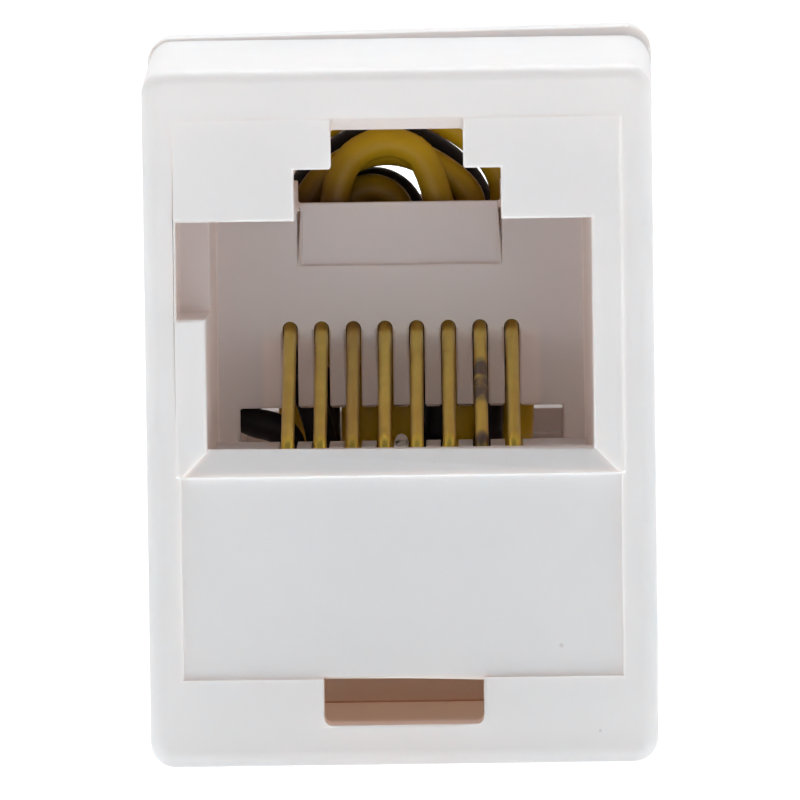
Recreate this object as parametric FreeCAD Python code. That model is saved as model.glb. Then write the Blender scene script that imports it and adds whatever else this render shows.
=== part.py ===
import FreeCAD, Part
import math
import os

# Inline coupler for two eight-way modular plugs, wired straight through.
#
# Units are millimetres, +Z is up.  The coupler stands on its flat underside, with the origin
# under the middle of its overall box.  Jack A opens towards -Y and jack B towards +Y, both
# with the latch side up.
#
# Everything that belongs to a jack is drawn once in a "jack frame": x to the right and z up
# for someone who looks into that jack, y the depth behind its face.  place_a and place_b put
# it at the two ends.

os.makedirs("parts", exist_ok=True)

V = FreeCAD.Vector

# ------------------------------------------------------------------ driving dimensions, casing

overall_length = 28.0       # face to face
front_width = 15.9          # at face A, the narrow end of the drafted housing
front_height = 21.85        # at face A
housing_length = 23.0       # face A to the seam with the rear cover
draft_angle = 0.85          # degrees, on the sides and top of the housing
corner_radius = 0.8         # long edges of the casing
face_edge_radius = 0.5      # rounding around a face
face_wall = 1.6
side_wall = 1.0
top_wall = 1.2
floor_wall = 1.25
cavity_corner = 0.4

cover_side_step = 0.06      # how far the cover stands proud of the housing at the seam
cover_top_step = 0.09
cover_lift = 0.24           # how much higher one top corner has crept in its fit
cover_side_wall = 1.3
plug_in_clearance = 0.1     # between the cover's inner block and the housing
tongue_width = 9.0          # tongue on the cover, under the housing's top wall
tongue_length = 2.0
tongue_thickness = 0.8
snap_height = 0.32
snap_length = 1.2
snap_depth = 7.0            # behind face B
snap_span = 5.0             # along Z
snap_clearance = 0.08

# --------------------------------------------------------------------- driving dimensions, jack

opening_width = 12.1
opening_floor = 9.88        # height of the lower lip above the base
opening_height = 7.19
tunnel_draft = 0.95         # degrees on each side wall
tunnel_depth = 10.2         # face to back wall
back_wall = 0.9
ceiling_plate = 0.88
cheek_drop = 0.88           # how far the tunnel's cheeks reach below the lip

key_reach = 0.9             # the key slot beyond the opening's left side
key_height = 3.04
key_depth = 5.0

latch_width = 6.48
latch_step = 1.6            # above the opening
latch_notch_width = 4.14
latch_notch_height = 1.22   # above the step
latch_bevel = 0.33

pocket_width = 6.4          # recess in the back wall
pocket_height = 2.0
pocket_depth = 0.35
back_wall_rise = 0.16       # top of the back wall over the opening's ceiling

pad_width = 14.0            # slightly raised field around the opening
pad_above = 0.33            # above the latch notch
pad_relief = 0.04

panel_width = 13.76         # shallow recessed field under the opening
panel_top_gap = 0.8         # from the lower lip
panel_height = 6.35
panel_depth = 0.22
lip_bevel_depth = 0.4

core_slot_width = 5.0       # slot at the foot of each face
core_slot_height = 1.46
core_slot_corner = 0.25

# ----------------------------------------------------------- driving dimensions, contacts, leads

pins = 8
pitch = 1.016
contact_wire = 0.42
contact_bend = 0.5
contact_nose_depth = 1.95
contact_dip = 0.1           # how far the nose sinks into its notch, below the lower lip
contact_tail_gap = 0.02     # under the shelf
contact_rise = 3.32         # free end above the lower lip
contact_reach = 10.7        # depth of the free end
contact_tail_end = 7.2

carrier_clearance = 0.1
shelf_thickness = 0.8
shelf_start = 1.7
shelf_end = 5.4
notch_width = 0.56
notch_length = 1.4
guide_depth = 0.3            # grooves on the shelf, behind its notches
comb_groove_width = 0.54
comb_depth = 0.8
comb_end = 5.9
carrier_side = 0.8
carrier_back = 0.8
carrier_back_depth = 8.5
carrier_back_height = 6.1
nub_radius = 0.2            # half-round nub on the middle of the shelf
nub_length = 0.4
stop_height = 0.75
stop_length = 0.8
stop_width = 4.0

comb_slot_width = 0.49      # slots in the back wall for the free ends
window_width = 10.4
window_height = 0.79        # above the lower lip
finger_chamfer = 0.07       # on the lower corners of the back wall's fingers

crimp_diameter = 0.84
crimp_bore = 0.52
crimp_start = 6.1
crimp_length = 2.2

lead_diameter = 0.98
lead_core = 0.38
lead_start = 8.45           # depth where the insulation begins
lead_core_start = 7.35
lead_wall_gap = 0.06        # between the row of leads and the back wall
lead_unit = 1.0             # unit of the leads' hand-laid points

wire_flats = 8              # flats that stand for a round wire, lead or crimp
bend_step = 22.5            # degrees, the most that one step of a bend turns

# --------------------------------------------------------------------------- derived places

half_length = overall_length / 2
slope = math.tan(math.radians(draft_angle))
tunnel_slope = math.tan(math.radians(tunnel_draft))
opening_ceiling = opening_floor + opening_height
latch_step_top = opening_ceiling + latch_step
latch_top = latch_step_top + latch_notch_height
tunnel_end = tunnel_depth + back_wall
tunnel_base = opening_floor - cheek_drop
tunnel_roof = opening_ceiling + ceiling_plate
back_wall_top = opening_ceiling + back_wall_rise
window_top = opening_floor + window_height
free_end_height = opening_floor + contact_rise
shelf_under = opening_floor - shelf_thickness
tail_height = shelf_under - contact_wire / 2 - contact_tail_gap
panel_top = opening_floor - panel_top_gap
panel_bottom = panel_top - panel_height
cover_length = overall_length - housing_length
cover_half = front_width / 2 + housing_length * slope + cover_side_step
cover_height = front_height + housing_length * slope + cover_top_step
carrier_end = carrier_back_depth + carrier_back
stop_start = carrier_end + carrier_clearance
row_depth = tunnel_end + lead_wall_gap + lead_diameter / 2
row = half_length - row_depth       # distance of each row of leads from the middle
past = 1.0                          # how far a cutter runs past the face that it opens
touch = 0.01                        # how far neighbouring cutters or joined solids overlap


def place_a(shape):
    """Put a shape from the jack frame at face A."""
    placed = shape.copy()
    placed.translate(V(0, -half_length, 0))
    return placed


def place_b(shape):
    """Put a shape from the jack frame at face B, turned to look the other way."""
    placed = shape.copy()
    placed.rotate(V(0, 0, 0), V(0, 0, 1), 180)
    placed.translate(V(0, half_length, 0))
    return placed


def half_width_at(depth):
    """Outer half width of the drafted housing at a depth behind face A."""
    return front_width / 2 + depth * slope


def height_at(depth):
    """Outer height of the drafted housing at a depth behind face A."""
    return front_height + depth * slope


def pin_x(pin):
    """Sideways place of a pin in the jack frame; pin 1 is on the right with the latch up."""
    return ((pins + 1) / 2 - pin) * pitch


# ------------------------------------------------------------------------------ shape helpers

def box(x0, x1, y0, y1, z0, z1):
    return Part.makeBox(x1 - x0, y1 - y0, z1 - z0, V(x0, y0, z0))


def centred_box(width, y0, y1, z0, z1):
    return box(-width / 2, width / 2, y0, y1, z0, z1)


def flat_face(points):
    return Part.Face(Part.makePolygon(points + points[:1]))


def solid_from_outlines(outlines):
    """Closed solid from the flat outlines of its faces."""
    shell = Part.Shell([flat_face(points) for points in outlines])
    shell.sewShape()
    return Part.Solid(shell)


def tapered_box(near, far):
    """Solid between two upright rectangles, each (half width, bottom, top, depth)."""
    ends = []
    for half, low, high, y in (near, far):
        ends.append([V(-half, y, low), V(half, y, low), V(half, y, high), V(-half, y, high)])
    sides = [[ends[0][i - 1], ends[0][i], ends[1][i], ends[1][i - 1]] for i in range(4)]
    return solid_from_outlines(ends + sides)


def round_long_edges(body, radius):
    """Round the four edges that run from end to end."""
    long_edges = [e for e in body.Edges if e.BoundBox.YLength > e.Length / 2]
    return body.makeFillet(radius, long_edges)


def ring(centre, along, width):
    """Corners of the regular polygon that stands for a round section across a direction."""
    side = V(1, 0, 0)
    up = along.cross(side).normalize()
    corners = []
    for i in range(wire_flats):
        turn = (i + 0.5) * 2 * math.pi / wire_flats
        corners.append(centre + (side * math.cos(turn) + up * math.sin(turn)) * (width / 2))
    return corners


def rounded_outline(corners, radii, y):
    """Closed wire at depth y through (x, z) corners, each rounded by its own radius."""
    points = [V(x, y, z) for x, z in corners]
    count = len(points)
    edges = []
    joins = []
    for i in range(count):
        back = (points[i - 1] - points[i]).normalize()
        on = (points[(i + 1) % count] - points[i]).normalize()
        half = back.getAngle(on) / 2
        setback = radii[i] / math.tan(half)
        middle = points[i] + (back + on).normalize() * (radii[i] / math.sin(half) - radii[i])
        joins.append((points[i] + back * setback, points[i] + on * setback))
        if radii[i]:
            edges.append(Part.Arc(joins[i][0], middle, joins[i][1]).toShape())
    for i in range(count):
        edges.append(Part.LineSegment(joins[i][1], joins[(i + 1) % count][0]).toShape())
    return Part.Wire(Part.__sortEdges__(edges))


def section(half_width, z0, z1, radius, y):
    """Rounded rectangle at depth y."""
    corners = [(-half_width, z0), (half_width, z0), (half_width, z1), (-half_width, z1)]
    return rounded_outline(corners, [radius] * 4, y)


def round_face_edges(body):
    """Round the rim of the face at depth 0."""
    rim = [e for e in body.Edges if e.BoundBox.YLength < 1e-6 and abs(e.BoundBox.YMin) < 1e-6]
    return body.makeFillet(face_edge_radius, rim)


def bent_path(points, largest=None):
    """Points of straight runs joined by tangent arcs, each as large as its runs allow.

    An arc is drawn as short equal steps that touch it.  The arcs' radii are returned too.
    """
    path = [points[0]]
    radii = []
    for i in range(1, len(points) - 1):
        back = points[i - 1] - points[i]
        on = points[i + 1] - points[i]
        half = back.getAngle(on) / 2
        setback = 0.45 * min(back.Length, on.Length)
        if largest:
            setback = min(setback, largest / math.tan(half))
        back.normalize()
        on.normalize()
        radius = setback * math.tan(half)
        centre = points[i] + (back + on).normalize() * (radius / math.sin(half))
        first = points[i] + back * setback - centre
        last = points[i] + on * setback - centre
        turn = math.pi - 2 * half
        steps = math.ceil(turn / math.radians(bend_step))
        reach = 1 / math.cos(turn / steps / 2)
        for k in range(steps):
            share = (k + 0.5) / steps
            arm = first * math.sin((1 - share) * turn) + last * math.sin(share * turn)
            path.append(centre + arm * (reach / math.sin(turn)))
        radii.append(radius)
    path.append(points[-1])
    return path, radii


def wire_along(path, width):
    """Round wire or lead along a path, mitred at each point."""
    rings = [ring(path[0], (path[1] - path[0]).normalize(), width)]
    for i in range(1, len(path)):
        along = (path[i] - path[i - 1]).normalize()
        mitre = along
        if i < len(path) - 1:
            mitre = along + (path[i + 1] - path[i]).normalize()
        rings.append([p + along * ((path[i] - p).dot(mitre) / along.dot(mitre)) for p in rings[-1]])
    outlines = [rings[0], rings[-1]]
    for near, far in zip(rings, rings[1:]):
        outlines += [[near[k - 1], near[k], far[k], far[k - 1]] for k in range(wire_flats)]
    return solid_from_outlines(outlines)


# ------------------------------------------------------------------------- jack tunnel features

def drafted_void(z0, z1, y0, y1):
    """Plug space whose side walls close in with depth."""
    return tapered_box(*[(opening_width / 2 - y * tunnel_slope, z0, z1, y) for y in (y0, y1)])


def latch_voids():
    """Stepped slot for the plug's latch, through the face wall and the tunnel's ceiling."""
    through = face_wall + touch
    step = centred_box(latch_width, -past, through, opening_ceiling - past, latch_step_top)
    roof = centred_box(latch_width, face_wall, tunnel_depth, opening_ceiling - past,
                       tunnel_roof + touch)
    notch = centred_box(latch_notch_width, -past, through, latch_step_top - past, latch_top)
    half = latch_notch_width / 2
    bevel_outline = [
        V(-half, -past, latch_top - past),
        V(-half, -past, latch_top + latch_bevel + past),
        V(-half, latch_bevel + past, latch_top - past),
    ]
    bevel = flat_face(bevel_outline).extrude(V(latch_notch_width, 0, 0))
    return [step, roof, notch, bevel]


def back_wall_voids():
    """Pocket, comb slots for the contacts' free ends, and the window under the back wall."""
    start = tunnel_depth - touch
    end = tunnel_end + touch
    pocket_floor = back_wall_top - pocket_height
    pocket = centred_box(pocket_width, start, tunnel_depth + pocket_depth, pocket_floor,
                         back_wall_top + touch)
    over_wall = centred_box(latch_width, start, end, back_wall_top, tunnel_roof + touch)
    window = centred_box(window_width, start, end, tunnel_base - past, window_top)
    slot_half = comb_slot_width / 2
    slots = []
    for pin in range(1, pins + 1):
        x = pin_x(pin)
        slots.append(box(x - slot_half, x + slot_half, start, end, window_top - touch, free_end_height))
        slots.append(Part.makeCylinder(slot_half, end - start, V(x, start, free_end_height), V(0, 1, 0)))
    return [pocket, over_wall, window] + slots


def tunnel_voids():
    """Everything that opens the solid block of a jack."""
    mouth = drafted_void(opening_floor, opening_ceiling, -past, tunnel_depth)
    under = drafted_void(tunnel_base - past, opening_floor + touch, face_wall, tunnel_depth)
    half = opening_width / 2
    key = box(-half - key_reach, -half + past, -past, key_depth,
              opening_ceiling - key_height, opening_ceiling)
    return [mouth, under, key] + latch_voids() + back_wall_voids()


def tunnel_block(half_width):
    """Solid that the walls of a plug tunnel are cut from."""
    return centred_box(2 * half_width, face_wall / 2, tunnel_end, tunnel_base, tunnel_roof)


def chamfer_finger_ends(body):
    """Take the corners off the lower ends of the back wall's fingers."""
    edges = []
    for edge in body.Edges:
        low = edge.BoundBox
        flat_end = abs(low.ZMin - window_top) < 1e-4 and abs(low.ZMax - window_top) < 1e-4
        along_y = abs(low.YLength - back_wall) < 1e-3 and low.XLength < 1e-4
        inside = abs(low.Center.x) < window_width / 2 - 0.1
        if flat_end and along_y and inside:
            edges.append(edge)
    return body.makeChamfer(finger_chamfer, edges)


# ----------------------------------------------------------------------------- face features

def face_pad():
    """The slightly raised field that the opening sits in."""
    return centred_box(pad_width, -pad_relief, face_wall / 2, panel_top, latch_top + pad_above)


def lip_bevel():
    """Wedge that slopes the band between the panel and the opening, with mitred ends."""
    wide = panel_width / 2
    narrow = opening_width / 2
    front = -pad_relief - touch
    top = opening_floor + touch
    lower_left = V(-wide, front, panel_top)
    lower_right = V(wide, front, panel_top)
    upper_right = V(narrow, front, top)
    upper_left = V(-narrow, front, top)
    deep_right = V(narrow, lip_bevel_depth, top)
    deep_left = V(-narrow, lip_bevel_depth, top)
    return solid_from_outlines([
        [lower_left, lower_right, upper_right, upper_left],
        [lower_left, lower_right, deep_right, deep_left],
        [upper_left, upper_right, deep_right, deep_left],
        [lower_left, upper_left, deep_left],
        [lower_right, upper_right, deep_right],
    ])


def face_voids():
    """Recessed panel, bevelled lower lip and the slot at the foot of a face."""
    panel = centred_box(panel_width, -past, panel_depth, panel_bottom, panel_top)
    half = core_slot_width / 2
    low = panel_bottom - core_slot_height
    corners = [(-half, low), (half, low), (half, panel_bottom), (-half, panel_bottom)]
    outline = rounded_outline(corners, [core_slot_corner, core_slot_corner, 0, 0], -past)
    slot = Part.Face(outline).extrude(V(0, face_wall + past + touch, 0))
    return [panel, lip_bevel(), slot]


# --------------------------------------------------------------------------- casing, two pieces

plug_in_half = half_width_at(overall_length - tunnel_end) - side_wall - plug_in_clearance


def housing():
    """Moulded shell with jack A in its closed end and an open rear, in the frame of jack A."""
    outer = tapered_box(*[(half_width_at(y), 0, height_at(y), y) for y in (0, housing_length)])
    hollow = tapered_box(*[
        (half_width_at(y) - side_wall, floor_wall, height_at(y) - top_wall, y)
        for y in (face_wall, housing_length + past)
    ])
    shell = round_face_edges(round_long_edges(outer, corner_radius))
    shell = shell.cut(round_long_edges(hollow, cavity_corner))
    block = tunnel_block(half_width_at(0) - side_wall / 2)
    stops = [
        centred_box(stop_width, y, y + stop_length, floor_wall / 2, floor_wall + stop_height)
        for y in (stop_start, overall_length - stop_start - stop_length)
    ]
    body = shell.multiFuse([block, face_pad()] + stops)
    body = body.cut(tunnel_voids() + face_voids() + [snap_shape(snap_clearance)])
    return chamfer_finger_ends(body.removeSplitter())


def snap_shape(clearance):
    """The cover's two snap ridges in the frame of jack A, or the grooves that they click into."""
    y0 = overall_length - snap_depth - snap_length - clearance
    y1 = overall_length - snap_depth + clearance
    middle = (tunnel_base + tunnel_roof) / 2
    reach = plug_in_half + snap_height + clearance
    half_span = snap_span / 2 + clearance
    return centred_box(2 * reach, y0, y1, middle - half_span, middle + half_span)


def rear_jack_cover():
    """Moulded end piece with jack B, plugged into the housing, in the frame of jack B."""
    half = cover_half
    corners = [(-half, 0), (half, 0), (half, cover_height), (-half, cover_height + cover_lift)]
    outer = Part.Face(rounded_outline(corners, [corner_radius] * 4, 0)).extrude(V(0, cover_length, 0))
    inner_top = height_at(housing_length) - top_wall
    hollow = Part.Face(section(half - cover_side_wall, floor_wall, inner_top, cavity_corner, face_wall))
    shell = round_face_edges(outer).cut(hollow.extrude(V(0, cover_length, 0)))
    tongue_top = height_at(housing_length - tongue_length) - top_wall - plug_in_clearance
    tongue = centred_box(tongue_width, face_wall / 2, cover_length + tongue_length,
                         tongue_top - tongue_thickness, tongue_top)
    filler = centred_box(tongue_width, face_wall / 2, cover_length,
                         tongue_top - past / 2, inner_top + past / 2)
    ridges = snap_shape(0)
    ridges.rotate(V(0, 0, 0), V(0, 0, 1), 180)
    ridges.translate(V(0, overall_length, 0))
    body = shell.multiFuse([tunnel_block(plug_in_half), face_pad(), tongue, filler, ridges])
    body = body.cut(tunnel_voids() + face_voids())
    return chamfer_finger_ends(body.removeSplitter())


# ------------------------------------------------------------------- contacts and their carriers

def contact_carrier():
    """Moulded frame that forms the floor of the tunnel and holds the eight contacts."""
    shelf_half = opening_width / 2 - shelf_end * tunnel_slope - carrier_clearance
    body_half = half_width_at(shelf_start) - side_wall - carrier_clearance
    body_top = tunnel_base - carrier_clearance
    base = floor_wall + carrier_clearance / 2
    shelf = centred_box(2 * shelf_half, shelf_start, shelf_end, shelf_under, opening_floor)
    comb = centred_box(2 * shelf_half, shelf_start + notch_length, comb_end,
                       shelf_under - comb_depth, shelf_under)
    sides = []
    for left in (-body_half, body_half - carrier_side):
        sides.append(box(left, left + carrier_side, shelf_start, carrier_end, base, body_top))
    back = centred_box(2 * body_half, carrier_back_depth, carrier_end, base, base + carrier_back_height)
    shoulder = centred_box(2 * body_half, shelf_start + notch_length, comb_end,
                           shelf_under - comb_depth, body_top)
    nub = Part.makeCylinder(nub_radius, nub_length, V(0, shelf_end - nub_length, opening_floor), V(0, 1, 0))
    outline = Part.Face(section(body_half, base, opening_floor + past, cavity_corner, shelf_start))
    envelope = outline.extrude(V(0, carrier_end - shelf_start, 0))
    body = shelf.multiFuse([comb, back, shoulder, nub] + sides).common(envelope)
    cuts = []
    for pin in range(1, pins + 1):
        x = pin_x(pin)
        cuts.append(box(x - notch_width / 2, x + notch_width / 2, shelf_start - past,
                        shelf_start + notch_length, shelf_under - past, opening_floor + past))
        cuts.append(box(x - notch_width / 2, x + notch_width / 2, shelf_start + notch_length - touch,
                        shelf_end + past, opening_floor - guide_depth, opening_floor + past))
        cuts.append(box(x - comb_groove_width / 2, x + comb_groove_width / 2, shelf_start,
                        comb_end + past, shelf_under - comb_depth - past, shelf_under))
    return body.cut(cuts).removeSplitter()


def contact(pin):
    """Spring wire: free end in the back wall's comb, round the shelf's nose, back to the crimp."""
    x = pin_x(pin)
    nose = opening_floor + contact_wire / 2 - contact_dip
    points = [
        V(x, contact_reach, free_end_height),
        V(x, contact_nose_depth, nose),
        V(x, contact_nose_depth, tail_height),
        V(x, contact_tail_end, tail_height),
    ]
    path, radii = bent_path(points, contact_bend)
    return wire_along(path, contact_wire)


def crimp(pin):
    """Sleeve that joins a contact's tail and a lead's bare end."""
    foot = V(pin_x(pin), crimp_start, tail_height)
    outside = flat_face(ring(foot, V(0, 1, 0), crimp_diameter))
    inside = flat_face(ring(foot, V(0, 1, 0), crimp_bore))
    return outside.cut(inside).extrude(V(0, crimp_length, 0))


# ----------------------------------------------------------------------------------- the leads
#
# Each lead runs from jack A's crimp, back and up between the two back walls, over to the
# opposite side, and down to jack B's crimp.  Its points are laid by hand.  Rows are the places
# from front to rear in which the leads pass one another, as shares of the way from the middle
# to the end rows, which stand against the back walls.

FRONT = -1.0
FORE = -0.53
MID = -0.04
REAR = 1.0


def at(x, share, z):
    """One hand-laid point of a lead."""
    return V(x * lead_unit, share * row, z * lead_unit)


def turn(x, share):
    """Corner at which a lead, level from its crimp, turns up."""
    return V(x * lead_unit, share * row, tail_height)


def arch(centre_x, centre_z, radius, share, direction):
    """Corner points of a half round arch; direction 1 runs from right to left."""
    rise = radius * math.tan(math.radians(30))
    crown = radius / math.cos(math.radians(30))
    return [
        at(centre_x + direction * radius, share, centre_z + rise),
        at(centre_x, share, centre_z + crown),
        at(centre_x - direction * radius, share, centre_z + rise),
    ]


def lead_middle(pin):
    """Hand-laid points of one lead between its two upward bends."""
    if pin == 1:
        return ([turn(3.7, FRONT), at(3.8, FRONT, 12.0), at(4.2, -0.77, 14.2), at(3.4, FORE, 16.1)]
                + arch(-0.4, 16.45, 3.8, FORE, 1)
                + [at(-4.2, FORE, 16.2), at(-4.1, -0.13, 15.0), at(-3.75, 0.47, 13.3),
                   at(-3.556, REAR, 11.4)])
    if pin == 2:
        return ([turn(2.77, -0.68), at(2.75, -0.68, 12.2), at(3.1, -0.47, 14.2), at(3.0, MID, 15.4)]
                + arch(-0.4, 16.5, 2.75, MID, 1)
                + [at(-3.15, MID, 16.3), at(-2.95, 0.43, 14.7), at(-2.54, REAR, 12.6)])
    if pin == 3:
        return ([turn(1.68, FRONT), at(1.95, FRONT, 10.2)]
                + arch(-0.37, 17.4, 1.7, FRONT, 1)
                + [at(-2.1, FRONT, 15.2), at(-1.9, -0.47, 13.9), at(-1.6, 0.3, 12.8), at(-1.52, REAR, 10.9)])
    if pin == 4:
        return ([turn(0.78, -0.68), at(1.27, -0.68, 10.2), at(0.75, -0.68, 12.3), at(0.6, -0.55, 14.2),
                 at(0.6, MID, 15.6)]
                + arch(-0.8, 16.65, 1.1, MID, 1)
                + [at(-1.9, MID, 16.0), at(-1.7, 0.51, 14.2), at(-0.5, REAR, 11.9)])
    if pin == 5:
        return ([turn(-0.37, FRONT), at(0.22, FRONT, 10.3), at(-0.55, FRONT, 12.6), at(-0.9, -0.64, 14.8),
                 at(-1.78, FORE, 15.9)]
                + arch(-0.9, 16.7, 0.88, FORE, -1)
                + [at(-0.02, FORE, 16.3), at(-0.5, -0.21, 15.0), at(-0.4, 0.3, 14.0), at(0.5, REAR, 12.6)])
    if pin == 6:
        return ([turn(-1.46, FRONT), at(-0.92, FRONT, 10.2), at(-1.55, FRONT, 11.6), at(-3.0, -0.68, 13.7),
                 at(-3.1, FORE, 15.4)]
                + arch(-0.4, 16.1, 2.7, FORE, -1)
                + [at(2.3, FORE, 16.4), at(1.75, -0.34, 15.2), at(1.6, 0.3, 13.4), at(1.52, REAR, 11.4)])
    if pin == 7:
        return [turn(-2.47, FRONT), at(-2.8, FRONT, 10.6), at(-3.7, FRONT, 12.4), at(-5.0, -0.43, 13.7),
                at(-5.1, 0.47, 14.6), at(-4.1, REAR, 14.8), at(2.54, REAR, 14.8)]
    return [turn(-3.46, FRONT), at(-3.75, FRONT, 9.95), at(-5.3, -0.93, 10.2), at(-6.0, -0.75, 12.3),
            at(-6.25, -0.21, 14.7), at(-6.2, 0.51, 15.8), at(-5.1, REAR, 16.0), at(3.556, REAR, 16.0)]


def lead_route(pin):
    """All points of a lead's insulation, from jack A's crimp to jack B's."""
    x = pin_x(pin)
    out = half_length - lead_start
    finish = [V(-x, row, tail_height), V(-x, out, tail_height)]
    return [V(x, -out, tail_height)] + lead_middle(pin) + finish


def lead(pin):
    """Insulated lead, its bare ends reaching into the crimps."""
    path, radii = bent_path(lead_route(pin))
    insulated = wire_along(path, lead_diameter)
    length = Part.makePolygon(path).Length
    area = flat_face(ring(path[0], V(0, 1, 0), lead_diameter)).Area
    print(f"lead {pin}: length {length:.1f}, volume over section times length "
          f"{insulated.Volume / length / area:.4f}, radii {' '.join(f'{r:.1f}' for r in radii)}")
    bare = V(0, lead_start - lead_core_start, 0)
    first_end = wire_along([path[0] - bare, path[0]], lead_core)
    last_end = wire_along([path[-1], path[-1] + bare], lead_core)
    return insulated.multiFuse([first_end, last_end])


# ------------------------------------------------------------------------------------- output

nodes = {
    "housing": place_a(housing()),
    "rear_jack_cover": place_b(rear_jack_cover()),
    "contact_carrier_a": place_a(contact_carrier()),
    "contact_carrier_b": place_b(contact_carrier()),
}
for number in range(1, pins + 1):
    nodes[f"contact_a{number}"] = place_a(contact(number))
    nodes[f"contact_b{number}"] = place_b(contact(number))
    nodes[f"crimp_a{number}"] = place_a(crimp(number))
    nodes[f"crimp_b{number}"] = place_b(crimp(number))
    nodes[f"lead_{number}"] = lead(number)

for name, shape in nodes.items():
    solids = shape.Solids
    if len(solids) != 1 or not shape.isValid():
        raise ValueError(f"{name} has {len(solids)} solids, valid {shape.isValid()}")
    solids[0].exportStep(f"parts/{name}.step")

print(len(nodes), "nodes")
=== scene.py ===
# %% [markdown]
# # An inline coupler, dressed around its frame
#
# The real object is a small white moulded block that joins two network cables.  Each end has a
# keyed opening for a plug, with sloping gold spring wires on its floor, and coloured leads cross
# over inside and show through the latch slot.
#
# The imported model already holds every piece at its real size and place, so this script never
# moves one.  It gives the white casing softly rounded edges and a faintly translucent plastic,
# lays smooth wires and leads where the frame has plain ones, and lights the whole like a small
# object in a tent of white cloth.

# %% Load the frame
import math

import bmesh
import bpy
from mathutils import Matrix, Vector


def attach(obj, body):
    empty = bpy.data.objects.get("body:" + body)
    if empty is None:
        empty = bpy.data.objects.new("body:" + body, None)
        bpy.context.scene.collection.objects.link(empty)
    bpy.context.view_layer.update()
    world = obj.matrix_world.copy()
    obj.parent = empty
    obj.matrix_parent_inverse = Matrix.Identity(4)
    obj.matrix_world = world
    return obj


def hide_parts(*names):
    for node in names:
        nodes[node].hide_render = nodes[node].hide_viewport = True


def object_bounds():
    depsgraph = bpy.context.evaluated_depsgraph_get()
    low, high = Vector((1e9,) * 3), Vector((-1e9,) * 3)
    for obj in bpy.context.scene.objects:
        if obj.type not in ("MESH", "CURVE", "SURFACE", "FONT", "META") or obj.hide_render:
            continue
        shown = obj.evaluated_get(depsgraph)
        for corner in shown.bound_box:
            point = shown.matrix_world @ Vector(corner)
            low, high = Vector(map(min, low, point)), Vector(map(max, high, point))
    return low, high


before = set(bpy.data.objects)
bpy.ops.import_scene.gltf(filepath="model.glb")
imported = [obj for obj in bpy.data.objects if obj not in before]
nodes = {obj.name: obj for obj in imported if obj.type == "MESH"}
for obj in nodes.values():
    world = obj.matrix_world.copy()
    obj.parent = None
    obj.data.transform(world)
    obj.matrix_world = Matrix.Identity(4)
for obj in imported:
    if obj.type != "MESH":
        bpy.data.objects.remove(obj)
cad_low, cad_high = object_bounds()
MM = 0.001
print("coupler box, mm:", [round((h - l) / MM, 2) for l, h in zip(cad_low, cad_high)])

# %% [markdown]
# ## Camera
#
# A small product is usually seen from well back through a long lens, which keeps its edges almost
# parallel.  The camera stands 360 mm in front of the near face, a little above it and slightly
# to the right, and is rolled by less than a degree, so the block leans gently to the left.

# %% Camera
STANDOFF = 360 * MM
CAMERA_RIGHT = 2.0 * MM
CAMERA_HEIGHT = 31.3 * MM
AIM_HEIGHT = 11.45 * MM
LENS = 520                  # focal length, mm
ROLL = 0.78                 # degrees
NEAREST = 0.05              # clip distances, m
FARTHEST = 20

camera_data = bpy.data.cameras.new("camera")
camera_data.lens = LENS
camera_data.clip_start = NEAREST
camera_data.clip_end = FARTHEST
camera = bpy.data.objects.new("camera", camera_data)
bpy.context.collection.objects.link(camera)
bpy.context.scene.camera = camera
camera.location = (CAMERA_RIGHT, cad_low.y - STANDOFF, CAMERA_HEIGHT)
aim = Vector((0, cad_low.y, AIM_HEIGHT))
sight = (aim - camera.location).to_track_quat("-Z", "Y")
camera.rotation_mode = "QUATERNION"
camera.rotation_quaternion = sight @ Matrix.Rotation(math.radians(-ROLL), 3, "Z").to_quaternion()
bpy.context.scene.view_settings.view_transform = "Standard"
dip = math.degrees(math.atan2(CAMERA_HEIGHT - AIM_HEIGHT, STANDOFF))
print("camera looks down", round(dip, 2), "degrees")

# %% [markdown]
# ## Floor and backdrop
#
# White objects look best in a tent: light comes from everywhere, so the edges stay bright and
# the shadows stay open.  Here a pale sweep makes the floor and the backdrop.  It could be a floor
# and a wall, but the line where they meet would show.  It runs flat under the coupler, turns up
# in a quarter circle a long way behind it, and goes on as a wall.

# %% Floor and backdrop
FLOOR_HALF = 4.0            # all in metres
SWEEP_FRONT = -4.0
SWEEP_BACK = 3.0
SWEEP_RADIUS = 1.0
SWEEP_HEIGHT = 4.0
SWEEP_STEPS = 24


def new_object(name, mesh):
    """Put a mesh in the scene as an object at the origin."""
    thing = bpy.data.objects.new(name, mesh)
    bpy.context.collection.objects.link(thing)
    return thing


profile = [(SWEEP_FRONT, 0.0)]
for i in range(SWEEP_STEPS + 1):
    bend = i / SWEEP_STEPS * math.pi / 2
    profile.append((SWEEP_BACK + SWEEP_RADIUS * math.sin(bend), SWEEP_RADIUS * (1 - math.cos(bend))))
profile.append((SWEEP_BACK + SWEEP_RADIUS, SWEEP_HEIGHT))
corners = [(x, y, z) for y, z in profile for x in (-FLOOR_HALF, FLOOR_HALF)]
strips = [(2 * i, 2 * i + 1, 2 * i + 3, 2 * i + 2) for i in range(len(profile) - 1)]
sweep_mesh = bpy.data.meshes.new("sweep")
sweep_mesh.from_pydata(corners, [], strips)
sweep_mesh.shade_smooth()
sweep = new_object("sweep", sweep_mesh)
print("sweep of", len(strips), "strips")

# %% [markdown]
# ## Nodes by name
#
# Materials, the world and geometry are all built from nodes that are linked socket to socket.
# Written out, each node takes several lines.  One helper that adds a node, sets its properties
# and fills its sockets by name keeps every tree short enough to read as a recipe.

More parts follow.
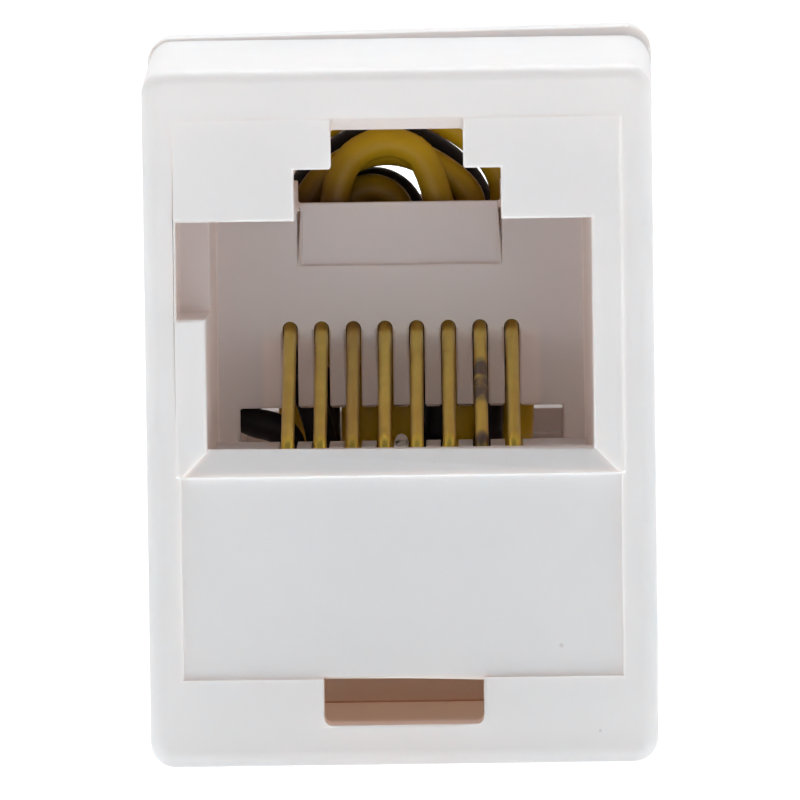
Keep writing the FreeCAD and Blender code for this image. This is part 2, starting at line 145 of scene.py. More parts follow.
# %% Helpers for nodes
def node_maker(tree):
    """A function that adds nodes to a tree."""
    def node(kind, settings=None, **links):
        """Add a node; each link is a socket's name, with _ for a space, and a value or an output.

        Where several sockets share a name, _ and the socket's number stand for it.
        """
        made = tree.nodes.new(kind)
        for key, value in (settings or {}).items():
            setattr(made, key, value)
        for key, value in links.items():
            socket = made.inputs[int(key[1:]) if key[1:].isdigit() else key.replace("_", " ")]
            if isinstance(value, bpy.types.NodeSocket):
                tree.links.new(value, socket)
            else:
                socket.default_value = value
        return made

    return node


def new_material(name):
    """An empty node material and the function that adds nodes to it."""
    material = bpy.data.materials.new(name)
    material.use_nodes = True
    material.node_tree.nodes.clear()
    return material, node_maker(material.node_tree)


def math_node(node, operation, first, second=0.0):
    """The result of one sum on two values or outputs."""
    return node("ShaderNodeMath", {"operation": operation}, _0=first, _1=second).outputs[0]


def spread(node, value, low, high):
    """A value between 0 and 1, moved to between low and high."""
    return node("ShaderNodeMapRange", Value=value, To_Min=low, To_Max=high).outputs[0]


print("helpers:", [helper.__name__ for helper in (node_maker, new_material, math_node, spread)])

# %% [markdown]
# ## White paper
#
# The sweep is white paper under strong light.  It could be lit by lamps alone, but then the floor
# would grow darker away from them.  A glow of its own evens it out, and throws light up on the
# casing as lit paper does.  The camera, and rays that reach the paper by a mirror or through
# something clear, get a trace more, so that the paper there is full white.

# %% White paper
PAPER_WHITE = (0.8, 0.8, 0.8, 1)
PAPER_GLOW = 0.66
PAPER_GLOW_SEEN = 0.7


def white_paper():
    """Matt paper that glows."""
    material, node = new_material("white_paper")
    rays = node("ShaderNodeLightPath").outputs
    seen = math_node(node, "MAXIMUM", rays["Is Camera Ray"], rays["Is Glossy Ray"])
    seen = math_node(node, "MAXIMUM", seen, rays["Is Transmission Ray"])
    matt = node("ShaderNodeBsdfDiffuse", Color=PAPER_WHITE)
    level = spread(node, seen, PAPER_GLOW, PAPER_GLOW_SEEN)
    glow = node("ShaderNodeEmission", Color=(1, 1, 1, 1), Strength=level)
    both = node("ShaderNodeAddShader", _0=matt.outputs[0], _1=glow.outputs[0])
    node("ShaderNodeOutputMaterial", Surface=both.outputs[0])
    return material


paper = white_paper()
sweep_mesh.materials.append(paper)
print("paper glows with", PAPER_GLOW)

# %% [markdown]
# ## World and lamps
#
# A tent's cloth glows on every side.  A dim, even world stands for it, and four soft lamps give
# the block its shape: a strong one overhead, one far in front and a weak one at each side.  The
# camera, and rays through something clear, see the world at full strength.  It lights the block
# at a quarter of that.

# %% World
WORLD_LEVEL = 0.25


def tent_world():
    """An even glow from all sides, which the camera sees at full strength."""
    world = bpy.data.worlds.new("tent")
    world.use_nodes = True
    world.node_tree.nodes.clear()
    node = node_maker(world.node_tree)
    rays = node("ShaderNodeLightPath").outputs
    seen = math_node(node, "MAXIMUM", rays["Is Camera Ray"], rays["Is Transmission Ray"])
    background = node("ShaderNodeBackground", Strength=spread(node, seen, WORLD_LEVEL, 1.0))
    node("ShaderNodeOutputWorld", Surface=background.outputs[0])
    return world


bpy.context.scene.world = tent_world()
print("world level:", WORLD_LEVEL)

# %% Lamps
LAMPS = {                   # place and width in metres, and power in watts
    "overhead": ((0, 0.15, 0.68), 0.6, 6.0),
    "front": ((0.1, -1.3, 0.18), 0.7, 1.45),
    "left_side": ((-0.7, -0.03, 0.25), 0.5, 0.9),
    "right_side": ((0.7, -0.03, 0.25), 0.5, 0.9),
}


def softbox(name, place, width, power):
    """A square area lamp that faces the coupler."""
    lamp = bpy.data.lights.new(name, "AREA")
    lamp.size = width
    lamp.energy = power
    holder = bpy.data.objects.new(name, lamp)
    bpy.context.collection.objects.link(holder)
    holder.location = place
    middle = (cad_low + cad_high) / 2
    holder.rotation_mode = "QUATERNION"
    holder.rotation_quaternion = (middle - holder.location).to_track_quat("-Z", "Y")


for name, (place, width, power) in LAMPS.items():
    softbox(name, place, width, power)
print("lamps:", list(LAMPS))

# %% [markdown]
# ## White moulded plastic
#
# The casing is white styrene plastic with a satin skin.  It is not quite opaque: light goes in a
# fraction of a millimetre and comes out warmer, which softens every edge and tints the deep
# places.  Subsurface scattering does this near the surface, and a share of translucent shader
# lets light through the thin walls.  The skin gets a very fine waviness and a few specks of dust
# pressed into it.
#
# One colour would be the plain way.  But this scene doesn't carry light into the tunnel, the
# latch notch and the slot at the foot quite as the real surroundings do, and with one colour some
# of these places come out too bright and others too pale.  So each zone, a stretch of the casing
# with soft borders, has a colour of its own.  That stands in for light and is no finish of the
# real part.  The zones mirror from end to end and from side to side.

# %% Patterns and colours by place
def axes_mm(node):
    """The object's own place in millimetres, whole and as x, y and z."""
    place = node("ShaderNodeTexCoord").outputs["Object"]
    scaled = node("ShaderNodeVectorMath", {"operation": "SCALE"}, _0=place, Scale=1 / MM)
    parts = node("ShaderNodeSeparateXYZ", Vector=scaled.outputs[0])
    return scaled.outputs[0], parts.outputs


def noise(node, place, scale, detail):
    """Soft clouds between 0 and 1."""
    return node("ShaderNodeTexNoise", Vector=place, Scale=scale, Detail=detail).outputs["Fac"]


def ramp(node, share, stops):
    """A colour ramp through two (place, colour) stops."""
    made = node("ShaderNodeValToRGB", Fac=share)
    for element, (place, colour) in zip(made.color_ramp.elements, stops):
        element.position = place
        element.color = (*colour, 1)
    return made.outputs["Color"]


def blend(node, share, first, second):
    """Mix two colours, each a tuple or an output."""
    made = node("ShaderNodeMix", {"data_type": "RGBA"}, _0=share)
    for slot, colour in ((6, first), (7, second)):
        if isinstance(colour, bpy.types.NodeSocket):
            made.id_data.links.new(colour, made.inputs[slot])
        else:
            made.inputs[slot].default_value = (*colour, 1)
    return made.outputs[2]


print("helpers:", [helper.__name__ for helper in (axes_mm, noise, ramp, blend)])

# %% Zones of the casing
# Borders in mm: "across" and "along" from the middle, and heights at the "foot" and the "head".  A
# zone's share is 0 at the first number of a pair and 1 at the second.
ZONES = {
    "inside": {"across": (7.5, 7.1), "along": (13.7, 12.6), "foot": (0.4, 0.9), "head": (21.2, 20.6)},
    "notch head": {"foot": (19.8, 19.9), "head": (20.3, 20.2), "across": (2.15, 2.05),
                   "along": (13.0, 13.4)},
    "side walls": {"across": (5.7, 5.9), "along": (4.1, 4.4)},
    "fingers": {"across": (4.6, 4.3), "along": (4.0, 3.85), "head": (13.6, 12.4)},
    "foot slot": {"across": (2.9, 2.7), "along": (13.9, 13.6), "foot": (0.5, 0.85), "head": (2.9, 2.6)},
    "slot floor": {"head": (1.39, 1.31)},
    "slot depth": {"along": (13.2, 11.0)},
}


def fade(node, value, start, end):
    """0 up to start and 1 from end on."""
    made = node("ShaderNodeMapRange", {"interpolation_type": "SMOOTHSTEP"}, Value=value,
                From_Min=start, From_Max=end)
    return made.outputs[0]


def product(node, *factors):
    """All factors multiplied."""
    result = factors[0]
    for factor in factors[1:]:
        result = math_node(node, "MULTIPLY", result, factor)
    return result


def zone(node, axes, name):
    """How far a place lies in a zone, from 0 to 1."""
    return product(node, *[fade(node, axes[side], *pair) for side, pair in ZONES[name].items()])


print("zones:", list(ZONES))

# %% Colours of the casing
OUTSIDE_WHITES = [(0.3, (0.757, 0.825, 0.865)), (0.7, (0.777, 0.845, 0.885))]
INSIDE_WHITE = (0.80, 0.80, 0.82)
NOTCH_GREY = (0.50, 0.50, 0.50)
WALL_GREY = (0.55, 0.54, 0.56)
SHADE_SHARE = 0.8           # of the two greys
FINGER_WHITE = (0.96, 0.89, 0.86)
SLOT_WALL = (0.96, 0.76, 0.60)
SLOT_NEAR = (0.84, 0.50, 0.34)
SLOT_DEEP = (0.62, 0.30, 0.17)
THROUGH_TINT = (1.0, 0.84, 0.76)
SLOT_TINT = (0.72, 0.47, 0.32)
DUST = (0.35, 0.33, 0.32)
DUST_SHARE = 0.45
SPECK_CORE = 0.3            # share of a speck's radius that is darkest
NEAR_FACE = (-13.0, -13.5)  # y, mm
# Specks on the near face: x, z and radius in mm.
SPECKS = [(4.94, 3.69, 0.09), (6.12, 1.02, 0.07), (1.04, 9.49, 0.03), (2.17, 9.08, 0.03),
          (4.41, 8.90, 0.03)]


def casing_colours(node, place, axes):
    """The colour of the skin with painted light and shade in each zone, and the tint of the light that
    comes through.
    """
    inside = zone(node, axes, "inside")
    foot_slot = zone(node, axes, "foot slot")
    colour = ramp(node, noise(node, place, scale=0.35, detail=3.0), OUTSIDE_WHITES)
    colour = blend(node, inside, colour, INSIDE_WHITE)
    notch_head = product(node, zone(node, axes, "notch head"), SHADE_SHARE)
    colour = blend(node, notch_head, colour, NOTCH_GREY)
    side_walls = product(node, inside, zone(node, axes, "side walls"), SHADE_SHARE)
    colour = blend(node, side_walls, colour, WALL_GREY)
    fingers = product(node, inside, zone(node, axes, "fingers"))
    colour = blend(node, fingers, colour, FINGER_WHITE)
    colour = blend(node, foot_slot, colour, SLOT_WALL)
    slot_floor = product(node, foot_slot, zone(node, axes, "slot floor"))
    slot_depth = zone(node, axes, "slot depth")
    floor_colour = blend(node, slot_depth, SLOT_NEAR, SLOT_DEEP)
    colour = blend(node, slot_floor, colour, floor_colour)
    tint = blend(node, product(node, slot_floor, slot_depth), THROUGH_TINT, SLOT_TINT)
    return colour, tint


def with_specks(node, colour, x, y, z):
    """A colour with the specks of dust in the near face."""
    near = fade(node, y, *NEAR_FACE)
    flat = node("ShaderNodeCombineXYZ", X=x, Y=z)
    for speck_x, speck_z, radius in SPECKS:
        apart = node("ShaderNodeVectorMath", {"operation": "DISTANCE"}, _0=flat.outputs[0],
                     _1=(speck_x, speck_z, 0)).outputs["Value"]
        speck = product(node, near, fade(node, apart, radius, radius * SPECK_CORE), DUST_SHARE)
        colour = blend(node, speck, colour, DUST)
    return colour


print("specks:", len(SPECKS))

# %% White plastic
THROUGH_SHARE = 0.3
SCATTER_REACH = 0.25 * MM
SCATTER_COLOURS = (1.0, 0.65, 0.5)
WAVE_DEPTH = 0.02 * MM
PLASTIC_ROUGHNESS = (0.34, 0.44)


def white_plastic():
    """Satin white plastic that lets a little light in and through."""
    material, node = new_material("white_plastic")
    place, (x, y, z) = axes_mm(node)
    across = math_node(node, "ABSOLUTE", x)
    along = math_node(node, "ABSOLUTE", y)
    colour, tint = casing_colours(node, place, {"across": across, "along": along, "foot": z, "head": z})
    colour = with_specks(node, colour, x, y, z)
    waves = noise(node, place, scale=2.5, detail=4.0)
    bump = node("ShaderNodeBump", Strength=0.05, Distance=WAVE_DEPTH, Height=waves)
    rough = spread(node, waves, *PLASTIC_ROUGHNESS)
    shader = node("ShaderNodeBsdfPrincipled", {"subsurface_method": "BURLEY"}, Base_Color=colour,
                  Roughness=rough, Normal=bump.outputs[0], IOR=1.5, Subsurface_Weight=1.0,
                  Subsurface_Radius=SCATTER_COLOURS, Subsurface_Scale=SCATTER_REACH)
    through = node("ShaderNodeBsdfTranslucent", Color=tint)
    both = node("ShaderNodeMixShader", _0=THROUGH_SHARE, _1=shader.outputs[0], _2=through.outputs[0])
    node("ShaderNodeOutputMaterial", Surface=both.outputs[0])
    return material


plastic = white_plastic()
print("white plastic nodes:", len(plastic.node_tree.nodes))

# %% [markdown]
# ## Soft edges
#
# No moulded edge is quite sharp.  A Bevel modifier on every edge would also cut into the
# roundings that the model has already, and tear where small faces meet.  Each moulding is copied
# instead, and only steep edges that are long enough and stand between two flats of some width
# are given a weight, which the Bevel modifier follows with 0.08 mm.
#
# The shading needs care too.  The copy's stored normals belong to the loose triangles it came
# from, so they are dropped.  The new ones are weighted by area, and the corners of each wide
# flat then get the flat's own normal, so that it stays flat right up to its roundings.

# %% Edges and flats
EDGE_ROUND = 0.08 * MM
SHARPEST = math.radians(35)         # an edge that turns more is shaded sharp
STEEP = math.radians(50)            # an edge that turns more may be rounded
FLAT = math.radians(0.5)            # faces that turn less belong to one flat
SHORTEST_ROUNDED = 2 * EDGE_ROUND   # length of an edge
NARROWEST_ROUNDED = 3 * EDGE_ROUND  # width of the flats beside it
NARROWEST_FLATTENED = 4 * EDGE_ROUND
SAME_PLACE = 1e-6                   # vertices nearer than this are one, m
TINY = 1e-9                         # stands for the rim where a flat has none, m


def flat_widths(bm):
    """About how wide the flat that each face belongs to is at its narrowest."""
    widths = {}
    for first in bm.faces:
        if first in widths:
            continue
        flat, waiting, area, rim = {first}, [first], 0.0, 0.0
        while waiting:
            face = waiting.pop()
            area += face.calc_area()
            for edge in face.edges:
                if edge.calc_face_angle(0.0) > FLAT:
                    rim += edge.calc_length()
                    continue
                for other in edge.link_faces:
                    if other not in flat:
                        flat.add(other)
                        waiting.append(other)
        for face in flat:
            widths[face] = 2 * area / max(rim, TINY)
    return widths


print("rounding, mm:", round(EDGE_ROUND / MM, 3))

# %% Soften the mouldings
def flatten(mesh):
    """Give each corner of a wide flat the flat's own normal."""
    bm = bmesh.new()
    bm.from_mesh(mesh)
    bm.faces.ensure_lookup_table()
    widths = flat_widths(bm)
    wide = {face.index for face in bm.faces if widths[face] > NARROWEST_FLATTENED}
    bm.free()
    normals = [corner.vector.copy() for corner in mesh.corner_normals]
    for face in mesh.polygons:
        if face.index in wide:
            for corner in face.loop_indices:
                normals[corner] = face.normal.copy()
    mesh.normals_split_custom_set(normals)


def evaluated_mesh(thing):
    """A plain mesh of an object with its modifiers or bevel applied."""
    bpy.context.view_layer.update()
    return bpy.data.meshes.new_from_object(thing.evaluated_get(bpy.context.evaluated_depsgraph_get()))


def repaint(thing, material):
    """Give every face of an object one material."""
    thing.data.materials.clear()
    thing.data.materials.append(material)
    thing.data.polygons.foreach_set("material_index", [0] * len(thing.data.polygons))


def soft_copy(name):
    """A moulding with rounded edges, made from its node and put in its place."""
    bm = bmesh.new()
    bm.from_mesh(nodes[name].data)
    bm.transform(nodes[name].matrix_world)
    bmesh.ops.remove_doubles(bm, verts=bm.verts, dist=SAME_PLACE)
    weight = bm.edges.layers.float.new("bevel_weight_edge")
    widths = flat_widths(bm)
    rounded = [edge for edge in bm.edges if edge.calc_face_angle(0.0) > STEEP
               and edge.calc_length() > SHORTEST_ROUNDED
               and min(widths[face] for face in edge.link_faces) > NARROWEST_ROUNDED]
    for edge in rounded:
        edge[weight] = 1.0
    print(name, "edges rounded:", len(rounded), "of", len(bm.edges))
    mesh = bpy.data.meshes.new(f"soft_{name}")
    bm.to_mesh(mesh)
    bm.free()
    if "custom_normal" in mesh.attributes:
        mesh.attributes.remove(mesh.attributes["custom_normal"])
    mesh.shade_smooth()
    mesh.set_sharp_from_angle(angle=SHARPEST)
    soft = new_object(f"soft_{name}", mesh)
    bevel = soft.modifiers.new("soft_edges", "BEVEL")
    bevel.width = EDGE_ROUND
    bevel.segments = 3
    bevel.limit_method = "WEIGHT"
    bevel.use_clamp_overlap = False
    normals = soft.modifiers.new("flat_flats", "WEIGHTED_NORMAL")
    normals.weight = 100
    normals.keep_sharp = True
    shape = evaluated_mesh(soft)
    soft.modifiers.clear()
    soft.data = shape
    flatten(shape)
    bpy.data.meshes.remove(mesh)
    repaint(soft, plastic)
    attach(soft, "root")
    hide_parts(name)
    return soft


mouldings = [soft_copy(name) for name in
             ("housing", "rear_jack_cover", "contact_carrier_a", "contact_carrier_b")]
print("mouldings softened:", len(mouldings))

# %% [markdown]
# ## Leads
#
# Eight insulated leads carry the eight pins straight through, which means that each one crosses
# from its place in the near jack to the opposite place in the far one.  They leave the crimps
# in a flat row, turn up behind the near jack, loop over one another in arches of several sizes
# and go down again behind the far jack.  Their points are given in a list.

# %% Lead places
HALF_LENGTH = 14.0          # all in mm; y counts from the middle of the coupler
PINS = 8
PITCH = 1.016
TAIL_HEIGHT = 8.83          # 0.02 lower than the middle of the model's crimps
LEAD_RADIUS = 0.49
CORE_RADIUS = 0.19
LEAD_END = 5.55             # y where the insulation ends
CORE_END = 6.65             # y where the bare end stops, in the crimp
CORE_OVERLAP = 0.2          # of the bare end in the insulation
ROW = 2.35                  # y of the rows behind the jacks
# Rows in which the leads pass one another, from front to rear, as shares of ROW.
FRONT, FORE, MID, REAR = -1.0, -0.53, -0.04, 1.0
HEXAGON_CORNER = math.radians(30)


def pin_x(pin):
    """Where a pin stands across the coupler; pin 1 is at the right, seen from the near face."""
    return ((PINS + 1) / 2 - pin) * PITCH


def at(x, share, z):
    """A point of a lead; share is its y as a share of the way to the rows behind the jacks."""
    return x, share * ROW, z


def turn(x, share):
    """Where a lead, level from its crimp, turns up."""
    return at(x, share, TAIL_HEIGHT)


def arch(centre_x, centre_z, radius, share, side):
    """The upper corners of a hexagon around a loop; side 1 runs from right to left."""
    foot = centre_z + radius * math.tan(HEXAGON_CORNER)
    crown = centre_z + radius / math.cos(HEXAGON_CORNER)
    return [at(centre_x + side * radius, share, foot), at(centre_x, share, crown),
            at(centre_x - side * radius, share, foot)]


LEAD_MIDDLES = {
    1: [turn(3.7, FRONT), at(3.8, FRONT, 12.0), at(4.2, -0.77, 14.2), at(3.4, FORE, 16.1)]
       + arch(-0.4, 16.45, 3.8, FORE, 1)
       + [at(-4.2, FORE, 16.2), at(-4.1, -0.13, 15.0), at(-3.75, 0.47, 13.3), at(-3.556, REAR, 11.4)],
    2: [turn(2.77, -0.68), at(2.75, -0.68, 12.2), at(3.1, -0.47, 14.2), at(3.0, MID, 15.4)]
       + arch(-0.4, 16.5, 2.75, MID, 1)
       + [at(-3.15, MID, 16.3), at(-2.95, 0.43, 14.7), at(-2.54, REAR, 12.6)],
    3: [turn(1.68, FRONT), at(1.95, FRONT, 10.2)]
       + arch(-0.37, 17.4, 1.7, FRONT, 1)
       + [at(-2.1, FRONT, 15.2), at(-1.9, -0.47, 13.9), at(-1.6, 0.3, 12.8), at(-1.52, REAR, 10.9)],
    4: [turn(0.78, -0.68), at(1.27, -0.68, 10.2), at(0.75, -0.68, 12.3), at(0.6, -0.55, 14.2),
        at(0.6, MID, 15.6)]
       + arch(-0.8, 16.65, 1.1, MID, 1)
       + [at(-1.9, MID, 16.0), at(-1.7, 0.51, 14.2), at(-0.5, REAR, 11.9)],
    5: [turn(-0.37, FRONT), at(0.22, FRONT, 10.3), at(-0.55, FRONT, 12.6), at(-0.9, -0.64, 14.8),
        at(-1.78, FORE, 15.9)]
       + arch(-0.9, 16.7, 0.88, FORE, -1)
       + [at(-0.02, FORE, 16.3), at(-0.5, -0.21, 15.0), at(-0.4, 0.3, 14.0), at(0.5, REAR, 12.6)],
    6: [turn(-1.46, FRONT), at(-0.92, FRONT, 10.2), at(-1.55, FRONT, 11.6), at(-3.0, -0.68, 13.7),
        at(-3.1, FORE, 15.4)]
       + arch(-0.4, 16.1, 2.7, FORE, -1)
       + [at(2.3, FORE, 16.4), at(1.75, -0.34, 15.2), at(1.6, 0.3, 13.4), at(1.52, REAR, 11.4)],
    7: [turn(-2.47, FRONT), at(-2.8, FRONT, 10.6), at(-3.7, FRONT, 12.4), at(-5.0, -0.43, 13.7),
        at(-5.1, 0.47, 14.6), at(-4.1, REAR, 14.8), at(2.54, REAR, 14.8)],
    8: [turn(-3.46, FRONT), at(-3.75, FRONT, 9.95), at(-5.3, -0.93, 10.2), at(-6.0, -0.75, 12.3),
        at(-6.25, -0.21, 14.7), at(-6.2, 0.51, 15.8), at(-5.1, REAR, 16.0), at(3.556, REAR, 16.0)],
}
YELLOW_LEADS = (1, 3, 5, 6)
print("lead points:", {pin: len(points) for pin, points in LEAD_MIDDLES.items()})

# %% [markdown]
# ## Vinyl, copper and tin
#
# The insulation is soft vinyl in two colours, with the dull shine of an extruded skin.  It looks
# brightest where light comes in at the top and at the right, and at the foot of the back wall, so
# its shade is a sum of soft clouds and three fades, which stand in for that light.  Two plain
# colours would leave the leads flat.  The bare ends are copper and the crimps tinned, each with
# faint clouds in its shine.

# %% Lead and crimp materials
CLOUD_SHARE = 0.2
HIGH = (17.0, 19.6)         # z where the light from the top begins and is full
HIGH_SHARE = 0.75
RIGHT = (-3.0, 2.0)         # the same for x
RIGHT_SHARE = 0.3
LOW = (14.0, 12.0)          # and for z at the foot of the back wall
LOW_SHARE = 0.55
ROUGH_SPREAD = 0.08


def lead_insulation(name, deep, bright, roughness):
    """Vinyl whose shade runs from deep to bright with the light that reaches it."""
    material, node = new_material(name)
    place, (x, _, z) = axes_mm(node)
    shade = product(node, noise(node, place, scale=0.9, detail=2.0), CLOUD_SHARE)
    for axis, borders, share in ((z, HIGH, HIGH_SHARE), (x, RIGHT, RIGHT_SHARE), (z, LOW, LOW_SHARE)):
        shade = math_node(node, "ADD", shade, product(node, fade(node, axis, *borders), share))
    colour = ramp(node, shade, [(0.1, deep), (1.0, bright)])
    shader = node("ShaderNodeBsdfPrincipled", Base_Color=colour, Roughness=roughness,
                  Specular_IOR_Level=0.22, Subsurface_Weight=0.35,
                  Subsurface_Radius=(1.0, 0.7, 0.2), Subsurface_Scale=0.3 * MM)
    node("ShaderNodeOutputMaterial", Surface=shader.outputs[0])
    return material


def metal(name, deep, bright, roughness):
    """A plated or bare metal with faint clouds in its shine."""
    material, node = new_material(name)
    place, _ = axes_mm(node)
    cloud = noise(node, place, scale=1.6, detail=4.0)
    colour = ramp(node, cloud, [(0.35, deep), (0.65, bright)])
    rough = spread(node, cloud, roughness - ROUGH_SPREAD, roughness + ROUGH_SPREAD)
    shader = node("ShaderNodeBsdfPrincipled", Base_Color=colour, Roughness=rough, Metallic=1.0)
    node("ShaderNodeOutputMaterial", Surface=shader.outputs[0])
    return material


yellow_vinyl = lead_insulation("yellow_vinyl", deep=(0.09, 0.038, 0.003),
                               bright=(0.53, 0.345, 0.010), roughness=0.38)
black_vinyl = lead_insulation("black_vinyl", deep=(0.008, 0.006, 0.006),
                              bright=(0.016, 0.013, 0.016), roughness=0.5)
copper = metal("bare_copper", deep=(0.72, 0.36, 0.22), bright=(0.86, 0.50, 0.34), roughness=0.3)
tin = metal("tinned_crimp", deep=(0.62, 0.61, 0.60), bright=(0.74, 0.73, 0.72), roughness=0.32)
crimps = [thing for name, thing in nodes.items() if name.startswith("crimp_")]
for crimp in crimps:
    repaint(crimp, tin)
print("crimps tinned:", len(crimps))

# %% [markdown]
# ## Laying the leads
#
# A lead is round and bends smoothly.  The frame's leads have eight flats and bend in short
# straight steps, so each is laid again over the same points.  A curve with a round bevel is the
# plainest way.  A NURBS spline of order 3 only leans towards its points, and rounds each bend as
# much as its neighbours allow.  The bare ends are straight, and join the insulation in one mesh
# with a material for each.

# %% Lay the leads
def swept_wire(points, radius):
    """The mesh of a round wire along a smooth curve that the points, in millimetres, steer."""
    curve = bpy.data.curves.new("route", "CURVE")
    curve.dimensions = "3D"
    curve.bevel_depth = radius * MM
    curve.bevel_resolution = 5
    curve.use_fill_caps = True
    spline = curve.splines.new("NURBS")
    spline.points.add(len(points) - 1)
    for point, (x, y, z) in zip(spline.points, points):
        point.co = (x * MM, y * MM, z * MM, 1)
    spline.order_u = 3
    spline.use_endpoint_u = True
    spline.resolution_u = 8
    route = new_object("route", curve)
    mesh = evaluated_mesh(route)
    bpy.data.objects.remove(route)
    bpy.data.curves.remove(curve)
    mesh.materials.clear()
    return mesh


def straight_wire(ends, radius):
    """The mesh of a short straight stretch of wire."""
    (x0, y0, z0), (x1, y1, z1) = ends
    middle = ((x0 + x1) / 2, (y0 + y1) / 2, (z0 + z1) / 2)
    return swept_wire([ends[0], middle, ends[1]], radius)


def joined_mesh(name, parts):
    """One smooth mesh of several, each given with its material."""
    bm = bmesh.new()
    for slot, (mesh, _) in enumerate(parts):
        before = len(bm.faces)
        bm.from_mesh(mesh)
        bm.faces.ensure_lookup_table()
        for face in bm.faces[before:]:
            face.material_index = slot
    whole = bpy.data.meshes.new(name)
    bm.to_mesh(whole)
    bm.free()
    for mesh, material in parts:
        whole.materials.append(material)
        bpy.data.meshes.remove(mesh)
    whole.shade_smooth()
    return whole


def lay_lead(pin):
    """One lead with its bare ends, in place of its node."""
    x = pin_x(pin)
    finish = [(-x, ROW, TAIL_HEIGHT), (-x, LEAD_END, TAIL_HEIGHT)]
    route = [(x, -LEAD_END, TAIL_HEIGHT)] + LEAD_MIDDLES[pin] + finish
    near_core = [(x, -CORE_END, TAIL_HEIGHT), (x, -LEAD_END + CORE_OVERLAP, TAIL_HEIGHT)]
    far_core = [(-x, LEAD_END - CORE_OVERLAP, TAIL_HEIGHT), (-x, CORE_END, TAIL_HEIGHT)]
    vinyl = yellow_vinyl if pin in YELLOW_LEADS else black_vinyl
    parts = [(swept_wire(route, LEAD_RADIUS), vinyl)]
    parts += [(straight_wire(ends, CORE_RADIUS), copper) for ends in (near_core, far_core)]
    lead = new_object(f"laid_lead_{pin}", joined_mesh(f"laid_lead_{pin}", parts))
    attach(lead, "root")
    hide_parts(f"lead_{pin}")
    return lead


leads = [lay_lead(pin) for pin in range(1, PINS + 1)]
print("leads laid:", len(leads), "with", sum(len(lead.data.polygons) for lead in leads), "faces")

# %% [markdown]
# ## Gold plating
#
# The contacts are bronze wires with nickel and a thin layer of gold.  Where a plug has rubbed,
# the gold is worn.  In the near jack one wire is browner than the rest, and another has dark
# patches of tarnish at its middle and foot.  All are one material, which finds a wire by its
# place across the coupler.

# %% Gold
GOLDS = [(0.3, (0.68, 0.49, 0.085)), (0.7, (0.78, 0.60, 0.115))]
BROWN_PIN = 6
BROWN = (0.36, 0.20, 0.06)
BROWN_SHARE = 0.4
WORN_PIN = 2
TARNISH = (0.15, 0.11, 0.085)
PATCHES = (0.27, 0.5)       # cloud values between which the tarnish comes in
GOLD_ROUGHNESS = (0.26, 0.36)
BESIDE_WIRE = (0.45, 0.35)  # mm from a wire's middle
NEAR_JACK = (-0.5, -1.0)    # y, mm, as are the next three
WORN_FROM = (-9.7, -9.2)
WORN_TO = (-6.0, -6.6)
WORN_FOOT = (-11.6, -12.0)


def on_wire(node, x, pin):
    """1 on the wire of one pin of the near jack, and 0 on its neighbours."""
    apart = math_node(node, "ABSOLUTE", math_node(node, "SUBTRACT", x, pin_x(pin)))
    return fade(node, apart, *BESIDE_WIRE)


def gold_wire():
    """Thin gold over nickel, browner on one wire of the near jack and tarnished on another."""
    material, node = new_material("gold_wire")
    place, (x, y, _) = axes_mm(node)
    cloud = noise(node, place, scale=0.7, detail=2.0)
    colour = ramp(node, cloud, GOLDS)
    brown = product(node, fade(node, y, *NEAR_JACK), on_wire(node, x, BROWN_PIN), BROWN_SHARE)
    colour = blend(node, brown, colour, BROWN)
    worn = product(node, fade(node, y, *WORN_FROM), fade(node, y, *WORN_TO))
    worn = math_node(node, "MAXIMUM", worn, fade(node, y, *WORN_FOOT))
    patches = fade(node, noise(node, place, scale=1.1, detail=2.0), *PATCHES)
    colour = blend(node, product(node, worn, on_wire(node, x, WORN_PIN), patches), colour, TARNISH)
    rough = spread(node, cloud, *GOLD_ROUGHNESS)
    shader = node("ShaderNodeBsdfPrincipled", Base_Color=colour, Roughness=rough, Metallic=1.0)
    node("ShaderNodeOutputMaterial", Surface=shader.outputs[0])
    return material


gold = gold_wire()
print("gold nodes:", len(gold.node_tree.nodes))

# %% [markdown]
# ## Spring contacts
#
# Each jack has eight round gold wires.  One wire runs forward under the shelf, turns up through
# a notch in its front edge, and slopes back and up into the jack, where its domed free end
# stands in a slot of the back wall.  Each could be drawn by itself, but all eight are alike
# and stand at one pitch, which is what Geometry Nodes are for: the tree takes one bent line,
# rounds its corners, copies it along the pitch, gives it a round section and sets a ball on each
# end.  It ends by making the balls real and giving everything its material.

# %% Wire tree
WIRE_RADIUS = 0.21          # mm
WIRE_BEND = 0.5
BEND_POINTS = 8
WIRE_FACES = 20             # around a wire
BALL_RINGS = 10


